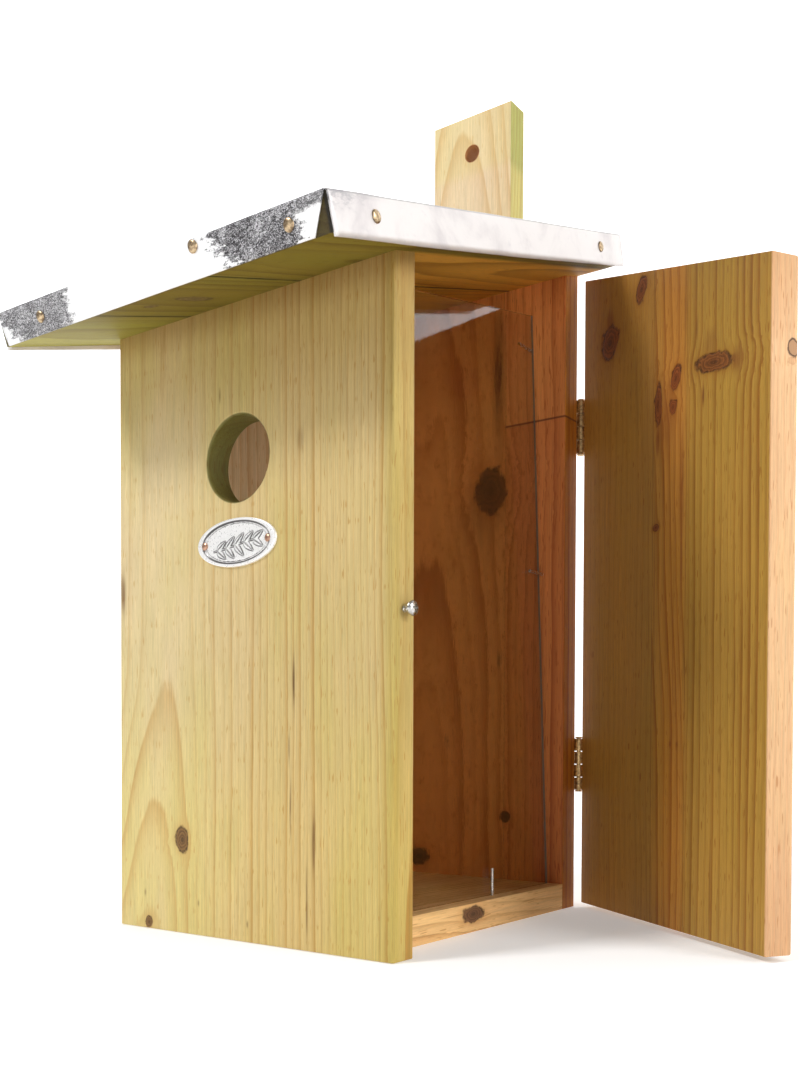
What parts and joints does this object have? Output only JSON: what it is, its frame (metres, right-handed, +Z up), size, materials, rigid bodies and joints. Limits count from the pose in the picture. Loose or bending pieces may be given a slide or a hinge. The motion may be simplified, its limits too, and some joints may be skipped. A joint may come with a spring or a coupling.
{
  "type": "birdhouse",
  "caption": "Wooden observation nest box with a sloping zinc-covered roof, hanging batten, clear side pane and a hinged side door with a turning hook.",
  "frame": {"origin": "centre of the box's underside, between the front board's face and the back board's rear face", "axes": "+Z up, the entrance faces -Y, the door opening is on the +X side, the batten is on the +Y side"},
  "size_m": [0.2776, 0.2227, 0.4014],
  "materials": {
    "pine": "planed, tinted green by its preservative",
    "zinc": "pale matt zinc with grey spangle",
    "brass": "tarnished",
    "steel": "plain",
    "plate_metal": "matt, plain face with a raised rim",
    "clear_pane": "clear"
  },
  "bodies": {
    "box": {"front_panel": "pine", "back_panel": "pine", "left_side_panel": "pine", "floor_panel": "pine", "roof_plank_left": "pine", "roof_plank_middle": "pine", "roof_plank_right": "pine", "hanging_batten": "pine", "roof_sheet": "zinc", "roof_sheet_nails": "brass", "roof_plank_nails": "steel", "batten_screws": "steel", "side_panel_nails": "steel", "floor_nails": "steel", "window_pane": "clear_pane", "window_pins": "steel", "name_plate": "plate_metal", "name_plate_nails": "brass", "catch_screw": "brass", "hinge_upper_frame_leaf": "brass", "hinge_lower_frame_leaf": "brass", "hinge_upper_pin": "brass", "hinge_lower_pin": "brass", "hinge_frame_screws": "brass"},
    "door": {"side_door": "pine", "hinge_upper_door_leaf": "brass", "hinge_lower_door_leaf": "brass", "hinge_door_screws": "brass", "latch_screw": "brass"},
    "latch": {"latch_hook": "brass"}
  },
  "joints": [
    {"name": "door_hinge", "type": "hinge", "parent": "box", "child": "door", "pos_m": [0.0625, 0.0828, 0.15], "axis": [0, 0, 1], "range_deg": [-55, 115]},
    {"name": "latch_swing", "type": "hinge", "parent": "door", "child": "latch", "pos_m": [0.17845, 0.01687, 0.127], "axis": [-0.5736, -0.8192, 0], "range_deg": [-90, 150]}
  ]
}
